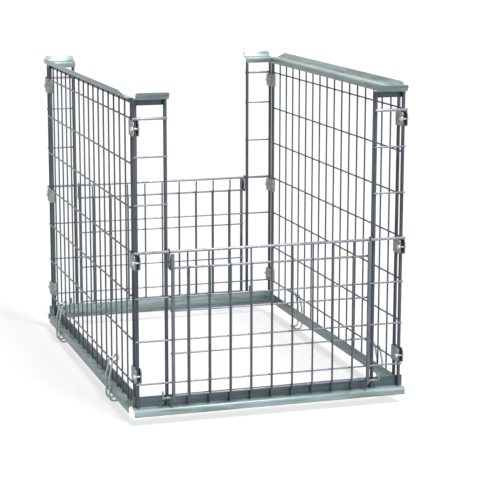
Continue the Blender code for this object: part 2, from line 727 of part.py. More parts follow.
def build():
    front = wall_matrix(0, HALF_Y)
    back = wall_matrix(math.pi, HALF_Y)
    left = wall_matrix(-math.pi / 2, HALF_X)
    right = wall_matrix(math.pi / 2, HALF_X)

    front_frame = Frame("front_wall", front, (0, 0, 0))
    left_frame = Frame("left_wall_pivot", left, (HALF_Y, 0, 0), front_frame)
    right_frame = Frame("right_wall_pivot", right, (-HALF_Y, 0, 0), front_frame)
    back_frame = Frame("back_wall_pivot", back, (HALF_X, 0, 0), left_frame)

    front_sides = ((-1, "left"), (1, "right"))
    back_sides = ((1, "left"), (-1, "right"))
    gate_wall("front", front_frame, front_sides)
    gate_wall("back", back_frame, back_sides)
    hinge = (0, -ROD_OUT, ROD_Z)
    gate("front_gate", Frame("front_gate_hinge", front, hinge, front_frame), front_sides)
    gate("back_gate", Frame("back_gate_hinge", back, hinge, back_frame), back_sides)

    clamp = clamp_shape()
    for name, wall, frame, head, ends in (
        ("left", left, left_frame, 1, ((1, "front"), (-1, "back"))),
        ("right", right, right_frame, -1, ((-1, "front"), (1, "back"))),
    ):
        side_wall(name, frame)
        for side, word in ends:
            end_bar(f"{name}_{word}_end_bar", frame, side)
            corner_clamps(f"{name}_{word}", frame, side, head, clamp)
        for bay in HOOK_BAYS:
            x = hook_place(bay)
            word = ends[0][1] if x * ends[0][0] > 0 else ends[1][1]
            pivot = Frame(f"{name}_{word}_hook_pivot", wall, (x, -WIRE_OUT, LOWEST_WIRE), frame)
            pallet_hook(f"{name}_{word}_hook", pivot, x)


clear_scene()
PARTS = new_collection("wire_mesh_pallet_collar")
CUTTERS = new_collection("cutters")
build()
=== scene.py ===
"""Dressed wire mesh pallet collar: smooth galvanised stock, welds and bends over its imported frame."""

import json
import logging
import math
from collections.abc import Iterable, Sequence
from dataclasses import dataclass, field
from enum import Enum

import bmesh
import bpy
from mathutils import Matrix, Vector

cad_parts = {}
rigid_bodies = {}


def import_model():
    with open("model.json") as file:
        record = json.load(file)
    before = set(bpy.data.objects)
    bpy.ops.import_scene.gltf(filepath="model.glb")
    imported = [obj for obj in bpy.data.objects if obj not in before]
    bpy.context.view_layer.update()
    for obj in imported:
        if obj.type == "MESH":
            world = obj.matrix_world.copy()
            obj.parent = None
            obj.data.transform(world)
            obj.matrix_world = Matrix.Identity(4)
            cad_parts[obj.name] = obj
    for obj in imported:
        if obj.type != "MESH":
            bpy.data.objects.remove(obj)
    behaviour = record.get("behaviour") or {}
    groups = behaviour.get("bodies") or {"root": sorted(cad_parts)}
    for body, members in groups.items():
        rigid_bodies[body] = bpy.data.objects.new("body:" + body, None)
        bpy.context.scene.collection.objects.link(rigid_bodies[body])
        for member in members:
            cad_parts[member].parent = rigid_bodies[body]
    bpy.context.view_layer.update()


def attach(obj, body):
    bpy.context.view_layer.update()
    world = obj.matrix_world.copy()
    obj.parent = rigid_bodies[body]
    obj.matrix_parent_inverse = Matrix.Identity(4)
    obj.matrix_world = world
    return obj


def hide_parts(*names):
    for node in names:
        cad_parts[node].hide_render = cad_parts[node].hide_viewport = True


MM = 0.001
DECK_HEIGHT = 45.0
LOG = logging.getLogger("pallet_collar")

# Finishes
NOISE_SPAN = (0.3, 0.7)
CLOUD_DETAIL = 3.0
GRAIN_DETAIL = 2.0
TONE_CLOUD_SHARE = 0.55
GLOSS_CLOUD_SHARE = 0.6
GRAIN_SHARE = 0.75
BUMP_STRENGTH = 0.35
WHITE = (1.0, 1.0, 1.0, 1.0)

# Shapes, in mm and degrees
NEAR = 0.01
MERGE_REACH = 0.005
BEND_STEP = 11
EYE_STEP = 12
SHARP_ANGLE = 38
ROLLED_ANGLE = 50
CORNER_ANGLE = 70
SAWN_SHARE = 0.1

# Facets
WIRE_SIDES = 12
LATCH_SIDES = 14
ROD_SIDES = 18
BAR_SIDES = 20
BOLT_SIDES = 20
BEAD_SIDES = 8
BEAD_RINGS = 5
FEWEST_BEND_STEPS = 3
FOLD_STEPS = 6
CORNER_STEPS = 8
WRAP_STEPS = 12
FLANGE_BEND_STEPS = 5

Point = tuple[float, float, float]
Flat = tuple[float, float]
Colour = tuple[float, float, float]
Tree = bpy.types.NodeTree
Socket = bpy.types.NodeSocket
Given = float | Sequence[float] | Socket
BMesh = bmesh.types.BMesh
BMVert = bmesh.types.BMVert
BMEdge = bmesh.types.BMEdge
BMFace = bmesh.types.BMFace


class Slot(Enum):
    """The record's material slots."""

    MESH_WIRE = "mesh_wire"
    BENT_SHEET = "bent_sheet"
    BRIGHT_ROD = "bright_rod"
    CLAMP = "clamp"
    HOOK_WIRE = "hook_wire"
    ROUND_BAR = "round_bar"


class Wall(Enum):
    """The four walls, each with its turn about Z in degrees and its distance from the middle in mm."""

    FRONT = ("front", 0.0, 584.5)
    BACK = ("back", 180.0, 584.5)
    LEFT = ("left", -90.0, 384.5)
    RIGHT = ("right", 90.0, 384.5)

    @property
    def word(self) -> str:
        """The wall's name in piece names."""
        return self.value[0]

    @property
    def body(self) -> str:
        """The body that the wall's fixed pieces ride on."""
        return f"{self.word}_wall"

    @property
    def matrix(self) -> Matrix:
        """Carries the wall's own frame, in mm above the deck, into the part's frame in metres."""
        _, turn, half = self.value
        turned = Matrix.Rotation(math.radians(turn), 4, "Z")
        return turned @ Matrix.Translation((0, -half * MM, DECK_HEIGHT * MM)) @ Matrix.Scale(MM, 4)

    @property
    def ends(self) -> tuple[tuple[int, str], ...]:
        """The sign of each end along the wall and its word in piece names."""
        return {
            "front": ((-1, "left"), (1, "right")),
            "back": ((1, "left"), (-1, "right")),
            "left": ((1, "front"), (-1, "back")),
            "right": ((-1, "front"), (1, "back")),
        }[self.word]


class Pattern(Enum):
    """How the zinc's flowers lie on a piece."""

    SPANGLED = (1.0, 1.0, 1.0)
    DRAWN_UPRIGHT = (1.0, 1.0, 0.18)
    ROLLED_LEVEL = (0.09, 0.09, 1.0)


def set_inputs(tree: Tree, node: bpy.types.Node, inputs: dict[str | int, Given]) -> None:
    """Gives a shader node its inputs.

    Args:
        tree: the node tree.
        node: the node.
        inputs: a value or another node's output for each input, by name or number.
    """
    for key, given in inputs.items():
        if isinstance(given, Socket):
            tree.links.new(given, node.inputs[key])
        else:
            node.inputs[key].default_value = given


def add_node(tree: Tree, kind: str, inputs: dict[str | int, Given]) -> bpy.types.Node:
    """Adds a shader node.

    Args:
        tree: the node tree.
        kind: the end of its type's name.
        inputs: its inputs, as set_inputs takes them.

    Returns:
        The node.
    """
    node = tree.nodes.new(f"ShaderNode{kind}")
    set_inputs(tree, node, inputs)
    return node


@dataclass(frozen=True)
class ZincFinish:
    """A galvanised finish: two tones in flowers, soft clouds, dull patches and a fine grain.

    Lengths are in mm and tones are linear colours.
    """

    name: str
    pale: Colour
    dark: Colour
    roughness: tuple[float, float] = (0.26, 0.44)
    flower: float = 9.0
    cloud: float = 70.0
    grain: float = 1.2
    relief: float = 0.05
    metallic: float = 0.25
    pattern: Pattern = Pattern.SPANGLED

    def material(self) -> bpy.types.Material:
        """The finish as a material, made once.

        Returns:
            The material of that name.
        """
        found = bpy.data.materials.get(self.name)
        if found is not None:
            return found
        made = bpy.data.materials.new(self.name)
        made.use_nodes = True
        tree = made.node_tree
        own = tree.nodes.new("ShaderNodeTexCoord").outputs["Object"]
        where = add_node(tree, "Mapping", {"Scale": self.pattern.value, "Vector": own}).outputs["Vector"]
        cells = add_node(tree, "TexVoronoi", {"Scale": 1.0 / (self.flower * MM), "Vector": where})
        flowers = add_node(tree, "SeparateColor", {"Color": cells.outputs["Color"]}).outputs["Red"]
        clouds = self._noise(tree, where, self.cloud, CLOUD_DETAIL)
        grain = self._noise(tree, where, self.grain, GRAIN_DETAIL)
        tone = self._blend_values(tree, flowers, clouds, TONE_CLOUD_SHARE)
        colour = tree.nodes.new("ShaderNodeMix")
        colour.data_type = "RGBA"
        set_inputs(tree, colour, {0: tone, 6: (*self.dark, 1.0), 7: (*self.pale, 1.0)})
        share = self._blend_values(tree, flowers, clouds, GLOSS_CLOUD_SHARE)
        low, high = self.roughness
        gloss = add_node(tree, "MapRange", {"Value": share, "To Min": low, "To Max": high})
        height = self._blend_values(tree, flowers, grain, GRAIN_SHARE)
        bump = add_node(
            tree, "Bump", {"Strength": BUMP_STRENGTH, "Distance": self.relief * MM, "Height": height}
        )
        set_inputs(tree, tree.nodes["Principled BSDF"], {
            "Metallic": self.metallic, "Base Color": colour.outputs[2],
            "Roughness": gloss.outputs["Result"], "Normal": bump.outputs["Normal"],
        })
        return made

    def _noise(self, tree: Tree, where: Socket, size: float, detail: float) -> Socket:
        """Soft noise.

        Args:
            tree: the material's node tree.
            where: the coordinates.
            size: how wide its features are, in mm.
            detail: octaves of finer noise in it.

        Returns:
            The noise's value.
        """
        inputs = {"Scale": 1.0 / (size * MM), "Detail": detail, "Vector": where}
        return add_node(tree, "TexNoise", inputs).outputs["Fac"]

    def _blend_values(self, tree: Tree, first: Socket, second: Socket, share: float) -> Socket:
        """A mix of two values.

        Args:
            tree: the material's node tree.
            first: the value at share 0.
            second: the value at share 1, spread from its middle range to 0 to 1.
            share: how much of the second is in the mix.

        Returns:
            The mixed value.
        """
        low, high = NOISE_SPAN
        wide = add_node(tree, "MapRange", {"Value": second, "From Min": low, "From Max": high})
        return add_node(tree, "Mix", {0: share, 2: first, 3: wide.outputs["Result"]}).outputs[0]


@dataclass(frozen=True)
class Finishes:
    """The collar's finishes."""

    upright_wire: ZincFinish = ZincFinish(
        "upright_wire_zinc", (0.17, 0.21, 0.23), (0.075, 0.10, 0.12), pattern=Pattern.DRAWN_UPRIGHT
    )
    # Level wires of the front and back walls, gates and strips: pale lilac that is painted reflection of the
    # front light.
    level_wire: ZincFinish = ZincFinish("level_wire_zinc", (0.44, 0.44, 0.52), (0.22, 0.24, 0.30))
    # Level wires of the side walls: the same wire, darker, with painted shade where the front light misses
    # them.
    side_wire: ZincFinish = ZincFinish("side_wire_zinc", (0.19, 0.235, 0.24), (0.08, 0.105, 0.11))
    round_bar: ZincFinish = ZincFinish(
        "round_bar_zinc", (0.13, 0.155, 0.19), (0.04, 0.052, 0.07), pattern=Pattern.DRAWN_UPRIGHT
    )
    # The gate's side bars: the round bar's zinc lightened with painted highlight.
    gate_bar: ZincFinish = ZincFinish(
        "gate_bar_zinc", (0.26, 0.29, 0.32), (0.10, 0.12, 0.145), pattern=Pattern.DRAWN_UPRIGHT
    )
    bright_rod: ZincFinish = ZincFinish(
        "bright_rod_zinc", (0.54, 0.53, 0.62), (0.27, 0.27, 0.35), roughness=(0.2, 0.36)
    )
    rail_sheet: ZincFinish = ZincFinish(
        "rail_sheet_zinc", (0.50, 0.63, 0.63), (0.12, 0.17, 0.18), roughness=(0.28, 0.5),
        flower=6.5, cloud=26.0, pattern=Pattern.ROLLED_LEVEL,
    )
    # The web's outer face: the rail's zinc darkened as painted shade, standing in for the shadow under the
    # ledge.
    rail_web: ZincFinish = ZincFinish(
        "rail_web_zinc", (0.11, 0.165, 0.185), (0.03, 0.045, 0.06), roughness=(0.28, 0.5),
        flower=6.5, cloud=26.0, pattern=Pattern.ROLLED_LEVEL,
    )
    clamp_sheet: ZincFinish = ZincFinish(
        "clamp_sheet_zinc", (0.50, 0.53, 0.54), (0.15, 0.175, 0.19), roughness=(0.3, 0.5),
        flower=7.0, metallic=0.5,
    )
    bolt: ZincFinish = ZincFinish(
        "bolt_zinc", (0.80, 0.81, 0.82), (0.58, 0.60, 0.63), roughness=(0.16, 0.3),
        flower=3.0, metallic=0.7,
    )
    hook_wire: ZincFinish = ZincFinish(
        "hook_wire_zinc", (0.72, 0.77, 0.77), (0.48, 0.54, 0.55), roughness=(0.24, 0.4)
    )
    latch_wire: ZincFinish = ZincFinish(
        "latch_wire_zinc", (0.38, 0.46, 0.48), (0.19, 0.24, 0.26), roughness=(0.24, 0.4)
    )
    weld: ZincFinish = ZincFinish(
        "weld_zinc", (0.26, 0.29, 0.31), (0.12, 0.145, 0.165), roughness=(0.42, 0.6), flower=2.5, relief=0.12
    )


FINISH = Finishes()


def place(point: Point) -> Vector:
    """A point of a wall, (along, out, up), in the wall's frame, whose Y axis points inwards."""
    along, out, up = point
    return Vector((along, -out, up))


def rim_edges(edges: Iterable[BMEdge]) -> list[BMEdge]:
    """The edges round flat ends, which are the only faces of more than four corners."""
    return [e for e in edges if any(len(f.verts) > 4 for f in e.link_faces)]


class Draft:
    """A piece under way, drawn in a wall's frame in mm."""

    def __init__(self) -> None:
        """Starts an empty piece."""
        self.bm = bmesh.new()

    def _paint(self, verts: Iterable[BMVert], finish: int) -> None:
        """Gives the faces that meet at some vertices the finish of that number."""
        for face in {f for v in verts for f in v.link_faces}:
            face.material_index = finish

    def rod(self, start: Point, end: Point, width: float, sides: int = WIRE_SIDES, finish: int = 0) -> None:
        """Adds a straight rod with softened sawn ends.

        Args:
            start: the middle of one end, as (along, out, up).
            end: the middle of the other end.
            width: its diameter.
            sides: facets round it.
            finish: the number of its finish.
        """
        low, high = place(start), place(end)
        turned = (high - low).to_track_quat("Z", "Y").to_matrix().to_4x4()
        made = bmesh.ops.create_cone(
            self.bm, cap_ends=True, segments=sides, radius1=width / 2, radius2=width / 2,
            depth=(high - low).length, matrix=Matrix.Translation((low + high) / 2) @ turned,
        )
        self._paint(made["verts"], finish)
        rims = rim_edges({e for v in made["verts"] for e in v.link_edges})
        self.soften(rims, width * SAWN_SHARE)

    def bead(self, middle: Point, size: Point, finish: int = 1) -> None:
        """Adds a small drop of weld.

        Args:
            middle: its middle, as (along, out, up).
            size: its half sizes along, out and up.
            finish: the number of its finish.
        """
        made = bmesh.ops.create_uvsphere(
            self.bm, u_segments=BEAD_SIDES, v_segments=BEAD_RINGS, radius=1.0,
            matrix=Matrix.Translation(place(middle)) @ Matrix.Diagonal((*size, 1.0)),
        )
        self._paint(made["verts"], finish)

    def bent_wire(
        self, path: Sequence[Point], bends: Sequence[float], width: float, closed_ends: bool = True,
        sides: int = WIRE_SIDES,
    ) -> None:
        """Adds a round wire, straight between the path's points and bent at each inner one.

        Args:
            path: the corners of its middle line, as (along, out, up).
            bends: the bend radius at each inner corner.
            width: its diameter.
            closed_ends: whether it has sawn ends, and is not left open for a mirror.
            sides: facets round it.
        """
        points = [place(p) for p in path]
        ahead = (points[1] - points[0]).normalized()
        turned = ahead.to_track_quat("Z", "Y").to_matrix().to_4x4()
        ring = bmesh.ops.create_circle(
            self.bm, cap_ends=closed_ends, segments=sides, radius=width / 2,
            matrix=Matrix.Translation(points[0]) @ turned,
        )["verts"]
        first = loop = list({e for v in ring for e in v.link_edges})
        at = points[0]
        for corner, after, radius in zip(points[1:], points[2:], bends):
            behind = (corner - at).normalized()
            ahead = (after - corner).normalized()
            angle = behind.angle(ahead)
            start = corner - behind * radius * math.tan(angle / 2)
            loop = self.draw_out(loop, start - at)
            inwards = (ahead - behind * ahead.dot(behind)).normalized()
            turned_loop = bmesh.ops.spin(
                self.bm, geom=loop, cent=start + inwards * radius, axis=behind.cross(ahead).normalized(),
                angle=angle, steps=max(FEWEST_BEND_STEPS, round(math.degrees(angle) / BEND_STEP)),
                use_duplicate=False,
            )["geom_last"]
            loop = [g for g in turned_loop if isinstance(g, BMEdge)]
            at = corner + ahead * radius * math.tan(angle / 2)
        loop = self.draw_out(loop, points[-1] - at)
        if closed_ends:
            bmesh.ops.contextual_create(self.bm, geom=loop)
            self.soften([*first, *loop], width * SAWN_SHARE)

    def soften(
        self, geom: Sequence[BMEdge | BMVert], offset: float, segments: int = 2, affect: str = "EDGES"
    ) -> None:
        """Rounds edges or corners off.

        Args:
            geom: the edges or vertices.
            offset: how far the rounding reaches.
            segments: facets of the rounding.
            affect: EDGES or VERTICES.
        """
        bmesh.ops.bevel(
            self.bm, geom=geom, offset=offset, segments=segments, profile=0.5, affect=affect, material=-1
        )

    def draw_out(self, loop: Sequence[BMEdge], step: Vector) -> list[BMEdge]:
        """Extrudes a loop of edges by a step.

        Args:
            loop: the edges.
            step: how far to carry them.

        Returns:
            The new loop.
        """
        drawn = bmesh.ops.extrude_edge_only(self.bm, edges=loop)["geom"]
        verts = {g for g in drawn if isinstance(g, BMVert)}
        bmesh.ops.translate(self.bm, verts=list(verts), vec=step)
        return [g for g in drawn if isinstance(g, BMEdge) and set(g.verts) <= verts]

    def turn(
        self, vert: BMVert, centre: Sequence[float], axis: Sequence[float], angle: float, steps: int
    ) -> BMVert:
        """Draws a vertex round a centre.

        Args:
            vert: where to start.
            centre: the arc's centre.
            axis: what it turns about.
            angle: how far round, in degrees.
            steps: facets of the arc.

        Returns:
            The arc's last vertex.
        """
        made = bmesh.ops.spin(
            self.bm, geom=[vert], cent=centre, axis=axis, angle=math.radians(angle), steps=steps,
            use_duplicate=False,
        )
        return next(g for g in made["geom_last"] if isinstance(g, BMVert))

    def run(self, vert: BMVert, to: Vector) -> BMVert:
        """Draws a vertex straight to a place.

        Args:
            vert: where to start.
            to: the place.

        Returns:
            The new vertex.
        """
        made = bmesh.ops.extrude_vert_indiv(self.bm, verts=[vert])["verts"][0]
        made.co = to
        return made

    def mirrored(self, axis: str = "X") -> None:
        """Adds the other half of a piece that was drawn on one side of a middle plane across this axis."""
        whole = self.bm.verts[:] + self.bm.edges[:] + self.bm.faces[:]
        bmesh.ops.mirror(self.bm, geom=whole, axis=axis, merge_dist=NEAR)

    def moved(self, step: Vector) -> None:
        """Moves all that is drawn so far."""
        bmesh.ops.translate(self.bm, verts=self.bm.verts, vec=step)

    def publish(
        self, name: str, wall: Wall, body: str, finishes: Sequence[ZincFinish],
        is_node: bool = True,
    ) -> bpy.types.Object:
        """Turns the draft into a finished object that rides on its body.

        Args:
            name: the piece's name.
            wall: the wall whose frame it is drawn in.
            body: the body that carries it.
            finishes: its finishes, in the order of their numbers.
            is_node: whether it stands for the frame's node of that name.

        Returns:
            The object.
        """
        bmesh.ops.remove_doubles(self.bm, verts=self.bm.verts, dist=MERGE_REACH)
        bmesh.ops.transform(self.bm, matrix=wall.matrix, verts=self.bm.verts)
        bmesh.ops.recalc_face_normals(self.bm, faces=self.bm.faces)
        mesh = bpy.data.meshes.new(name)
        self.bm.to_mesh(mesh)
        self.bm.free()
        for finish in finishes:
            mesh.materials.append(finish.material())
        mesh.shade_smooth()
        mesh.set_sharp_from_angle(angle=math.radians(SHARP_ANGLE))
        piece = bpy.data.objects.new(name, mesh)
        bpy.context.scene.collection.objects.link(piece)
        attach(piece, body)
        if is_node:
            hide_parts(name)
        LOG.info("%s: %d faces on %s", name, len(mesh.polygons), body)
        return piece


def thicken(piece: bpy.types.Object, thickness: float, edge: float) -> bpy.types.Modifier:
    """Gives a surface the sheet's thickness and rolled edges.

    Args:
        piece: the surface, at mid sheet.
        thickness: the sheet's thickness.
        edge: the width of its rolled edges.

    Returns:
        The modifier for the thickness.
    """
    wall = piece.modifiers.new("thickness", "SOLIDIFY")
    wall.thickness = thickness * MM
    wall.offset = 0.0
    wall.use_even_offset = True
    rolled = piece.modifiers.new("rolled_edges", "BEVEL")
    rolled.width = edge * MM
    rolled.segments = 2
    rolled.limit_method = "ANGLE"
    rolled.angle_limit = math.radians(ROLLED_ANGLE)
    return wall


@dataclass
class BentSheet:
    """A sheet folded along a wall: its path across the wall, bend radii and length at each fold."""

    path: Sequence[Flat]
    radii: Sequence[float]
    halves: Sequence[float]
    middle: float = 0.0
    corner: float = 0.0
    thickness: float = 2.5
    edge: float = 0.45

    def build(self, name: str, wall: Wall) -> None:
        """Folds the sheet and dresses it, with a darker finish on its web's outer face that is painted shade.

        Args:
            name: the name of the piece and of the node that it stands for.
            wall: the wall that it belongs to.
        """
        draft = Draft()
        bm = draft.bm
        ends = [(self.middle - half, *point) for point, half in zip(self.path, self.halves)]
        line = [bm.verts.new(place(end)) for end in ends]
        edges = [bm.edges.new(pair) for pair in zip(line, line[1:])]
        drawn = bmesh.ops.extrude_edge_only(bm, edges=edges)["geom"]
        for vert in (g for g in drawn if isinstance(g, BMVert)):
            vert.co.x = 2 * self.middle - vert.co.x
        # Faces in the web's plane get the first finish, the painted shade; the rest get the plain rail
        # finish.
        web = -self.path[0][0]
        for face in bm.faces:
            face.material_index = 0 if all(abs(v.co.y - web) < NEAR for v in face.verts) else 1
        self._round_corners(draft)
        self._round_folds(draft)
        made = draft.publish(name, wall, wall.body, [FINISH.rail_web, FINISH.rail_sheet])
        # The painted shade goes on the web's face outside the wall.
        self._face_outwards(made.data, wall)
        other_side = thicken(made, self.thickness, self.edge)
        other_side.material_offset = other_side.material_offset_rim = 1

    def _face_outwards(self, mesh: bpy.types.Mesh, wall: Wall) -> None:
        """Turns the sheet so that its web's first side is the one outside the wall.

        Args:
            mesh: the finished mesh.
            wall: the wall that it belongs to.
        """
        outwards = wall.matrix.to_3x3() @ place((0.0, 1.0, 0.0))
        web = next(p for p in mesh.polygons if p.material_index == 0)
        if web.normal.dot(outwards) < 0:
            mesh.flip_normals()

    def _round_folds(self, draft: Draft) -> None:
        """Rounds each fold to its own bend radius."""
        for i, radius in enumerate(self.radii):
            if not radius:
                continue
            out, up = self.path[i]
            fold = [
                e for e in draft.bm.edges
                if len(e.link_faces) == 2
                and all((v.co - Vector((v.co.x, -out, up))).length < NEAR for v in e.verts)
            ]
            behind = Vector(self.path[i]) - Vector(self.path[i - 1])
            ahead = Vector(self.path[i + 1]) - Vector(self.path[i])
            draft.soften(fold, radius * math.tan(behind.angle(ahead) / 2), FOLD_STEPS)

    def _round_corners(self, draft: Draft) -> None:
        """Rounds the two upper corners of the last leg."""
        if self.corner:
            top = max(v.co.z for v in draft.bm.verts)
            last = [v for v in draft.bm.verts if v.co.z > top - NEAR]
            draft.soften(last, self.corner, CORNER_STEPS, "VERTICES")


@dataclass
class RailProfile:
    """Sections of the rails across a wall, at mid sheet."""

    web_out: float = -6.55
    lip_out: float = 18.25
    flare_out: float = 17.75
    flare_run: float = 10.0
    flare_rise: float = 17.5
    base_height: float = 33.0
    base_ledge: float = 1.25
    lip_foot: float = -18.5
    top_foot: float = 833.0
    top_ledge: float = 851.75
    flare_cutback: float = 48.0
    sharp_bend: float = 1.75
    round_bend: float = 8.0

    def base(self, half: float, lip_half: float) -> BentSheet:
        """The rail under a wall: web behind the bars, ledge, lip down outside the deck.

        Args:
            half: half its length at the web.
            lip_half: half its length at the lip.

        Returns:
            The bent sheet.
        """
        path = [
            (self.web_out, self.base_height), (self.web_out, self.base_ledge),
            (self.lip_out, self.base_ledge), (self.lip_out, self.lip_foot),
        ]
        return BentSheet(path, (0.0, self.sharp_bend, self.round_bend, 0.0), (half, half, lip_half, lip_half))

    def top(self, half: float, cutback: float, middle: float = 0.0, corner: float = 0.0) -> BentSheet:
        """The rail or cap over a wall: web behind the bars, ledge, flare up and out.

        Args:
            half: half its length.
            cutback: how much shorter the flare's upper edge is at each end.
            middle: its middle along the wall.
            corner: the radius of the flare's corners.

        Returns:
            The bent sheet.
        """
        flare = (self.flare_out + self.flare_run, self.top_ledge + self.flare_rise)
        web = [(self.web_out, self.top_foot), (self.web_out, self.top_ledge)]
        path = [*web, (self.flare_out, self.top_ledge), flare]
        radii = (0.0, self.round_bend, self.sharp_bend, 0.0)
        return BentSheet(path, radii, (half, half, half, half - cutback), middle, corner)


@dataclass
class BarStock:
    """Widths of the round stock and its distances out of the wall."""

    bar: float = 10.0
    rod: float = 8.0
    wire: float = 5.0
    bent: float = 6.0
    foot: float = 2.8
    head: float = 847.75
    level_out: float = 7.8
    upright_out: float = 3.05
    rod_out: float = 9.3
    mesh_touch: float = 5.4
    bar_sink: float = 0.7
    wire_sink: float = 0.5
    collar_share: float = 0.68
    collar_height: float = 1.7
    wire_flash: Point = (3.3, 1.25, 3.1)
    bar_flash: Point = (4.38, 1.25, 3.1)

    def bar_upright(self, draft: Draft, along: float) -> None:
        """Adds a bar that stands on the base ledge and is welded to both ledges.

        Args:
            draft: the piece.
            along: its place along the wall.
        """
        draft.rod((along, 0, self.foot), (along, 0, self.head), self.bar, BAR_SIDES)
        self.stand_welds(draft, along, 0, self.bar, (self.foot + self.bar_sink, self.head - self.bar_sink))

    def level(self, draft: Draft, low: float, high: float, out: float, up: float, width: float = 5.0) -> None:
        """Adds a level wire, in the piece's third finish.

        Args:
            draft: the piece.
            low: where it starts along the wall.
            high: where it ends.
            out: its place out of the wall.
            up: its height.
            width: its diameter.
        """
        draft.rod((low, out, up), (high, out, up), width, finish=2)

    def stand_welds(
        self, draft: Draft, along: float, out: float, width: float, ends: Sequence[float]
    ) -> None:
        """Adds the weld collars where an upright stands on a ledge or reaches one.

        Args:
            draft: the piece.
            along: the upright's place along the wall.
            out: its place out of the wall.
            width: its width.
            ends: the heights of its welded ends.
        """
        wide = width * self.collar_share
        self.crossings(draft, [along], ends, out, (wide, wide, self.collar_height))

    def crossings(
        self, draft: Draft, places: Iterable[float], levels: Sequence[float], out: float, flash: Point
    ) -> None:
        """Adds the flash of resistance welds where level wires cross uprights.

        Args:
            draft: the piece.
            places: the uprights' places along the wall.
            levels: the level wires' heights.
            out: the plane where they touch.
            flash: the flash's half sizes along, out and up.
        """
        for along in places:
            for up in levels:
                draft.bead((along, out, up), flash)


def spread(count: int, half: float) -> list[float]:
    """Evenly spaced places between two bars.

    Args:
        count: how many.
        half: the bars' distance from the middle.

    Returns:
        The places along the wall.
    """
    pitch = 2 * half / (count + 1)
    return [-half + pitch * (i + 1) for i in range(count)]


@dataclass
class CornerClamp:
    """A strap closed round a side wall's end bar, with a cross bolt before the outer bar.

    The dome's profile is in shares of the head's radius and height, the peened end's in mm from the shank's
    side and from the tip.
    """

    height: float = 42.0
    sheet: float = 3.0
    bore: float = 7.28
    pitch: float = 33.5
    waist: float = 2.5
    bolt_ahead: float = 8.91
    flange: float = 5.5
    corner: float = 9.0
    bolt: float = 6.0
    head: float = 13.0
    head_height: float = 6.0
    tip: float = 3.5
    dome: Sequence[Flat] = ((0.0, 1.0), (0.45, 0.93), (0.78, 0.7), (0.96, 0.35), (1.0, 0.1), (0.97, 0.0))
    peened: Sequence[Flat] = ((0.0, 1.2), (0.5, 0.35), (1.3, 0.0), (3.0, 0.0))
    edge: float = 0.5
    side_end: float = 551.0
    levels: dict[str, float] = field(default_factory=lambda: {"top": 773.2, "middle": 410.45, "bottom": 94.8})

    def build(self, wall: Wall) -> None:
        """Makes the six clamps of a side wall, each a strap and its bolt."""
        head_side = 1 if wall is Wall.LEFT else -1
        for end, word in wall.ends:
            for level, up in self.levels.items():
                name = f"{wall.word}_{word}_clamp_{level}"
                middle = Vector((end * self.side_end, 0, up))
                self._strap(name, wall, end, middle)
                self._bolt(name, wall, end, head_side, middle)

    def _strap(self, name: str, wall: Wall, end: int, middle: Vector) -> None:
        """The strap: round the end bar, pinched at the waist, two flanges with round corners.

        Args:
            name: the node that it stands for.
            wall: the side wall.
            end: the sign of the wall's end.
            middle: the end bar's place at the clamp's middle height.
        """
        draft = Draft()
        bm = draft.bm
        low = -self.height / 2
        lean = math.atan2(self.waist, self.pitch / 2)
        reach = math.hypot(self.waist, self.pitch / 2)
        touch = math.degrees(lean + math.acos(self.bore / reach))
        back = math.radians(180 - touch)
        vert = bm.verts.new((-self.bore, 0, low))
        vert = draft.turn(vert, (0, 0, 0), (0, 0, 1), touch - 180.0, WRAP_STEPS)
        vert = draft.run(vert, Vector((self.pitch / 2, self.waist, low)))
        vert = draft.run(
            vert, Vector((self.pitch + self.bore * math.cos(back), self.bore * math.sin(back), low))
        )
        vert = draft.turn(vert, (self.pitch, 0, 0), (0, 0, 1), touch - 90.0, FLANGE_BEND_STEPS)
        draft.run(vert, Vector((self.pitch + self.bolt_ahead + self.flange, self.bore, low)))
        draft.draw_out(bm.edges[:], Vector((0, 0, self.height)))
        far = max(v.co.x for v in bm.verts)
        draft.soften([v for v in bm.verts if v.co.x > far - NEAR], self.corner, CORNER_STEPS, "VERTICES")
        draft.mirrored("Y")
        if end < 0:
            bmesh.ops.scale(bm, vec=(-1, 1, 1), verts=bm.verts)
        draft.moved(middle)
        made = draft.publish(name, wall, wall.body, [FINISH.clamp_sheet])
        thicken(made, self.sheet, self.edge)

    def _bolt(self, name: str, wall: Wall, end: int, head_side: int, middle: Vector) -> None:
        """The cross bolt, with a domed head on one side and a peened tip on the other.

        Args:
            name: the clamp's name.
            wall: the side wall.
            end: the sign of the wall's end.
            head_side: 1 where the head is outside the wall, -1 where it is inside.
            middle: the end bar's place at the clamp's middle height.
        """
        draft = Draft()
        bm = draft.bm
        face = self.bore + self.sheet / 2
        shank = self.bolt / 2
        head = [(wide * self.head / 2, face + high * self.head_height) for wide, high in self.dome]
        tip = [(shank - inset, high - face - self.tip) for inset, high in self.peened]
        profile = [*head, (shank, face), *tip]
        line = [bm.verts.new((radius, 0, up)) for radius, up in profile]
        edges = [bm.edges.new(pair) for pair in zip(line, line[1:])]
        bmesh.ops.spin(
            bm, geom=edges, cent=(0, 0, 0), axis=(0, 0, 1), angle=math.tau, steps=BOLT_SIDES, use_merge=True,
            use_duplicate=False,
        )
        across = Matrix.Rotation(math.radians(90 * head_side), 4, "X")
        spot = middle + Vector((end * (self.pitch + self.bolt_ahead), 0, 0))
        bmesh.ops.transform(bm, matrix=Matrix.Translation(spot) @ across, verts=bm.verts)
        draft.publish(f"{name}_bolt", wall, wall.body, [FINISH.bolt], is_node=False)


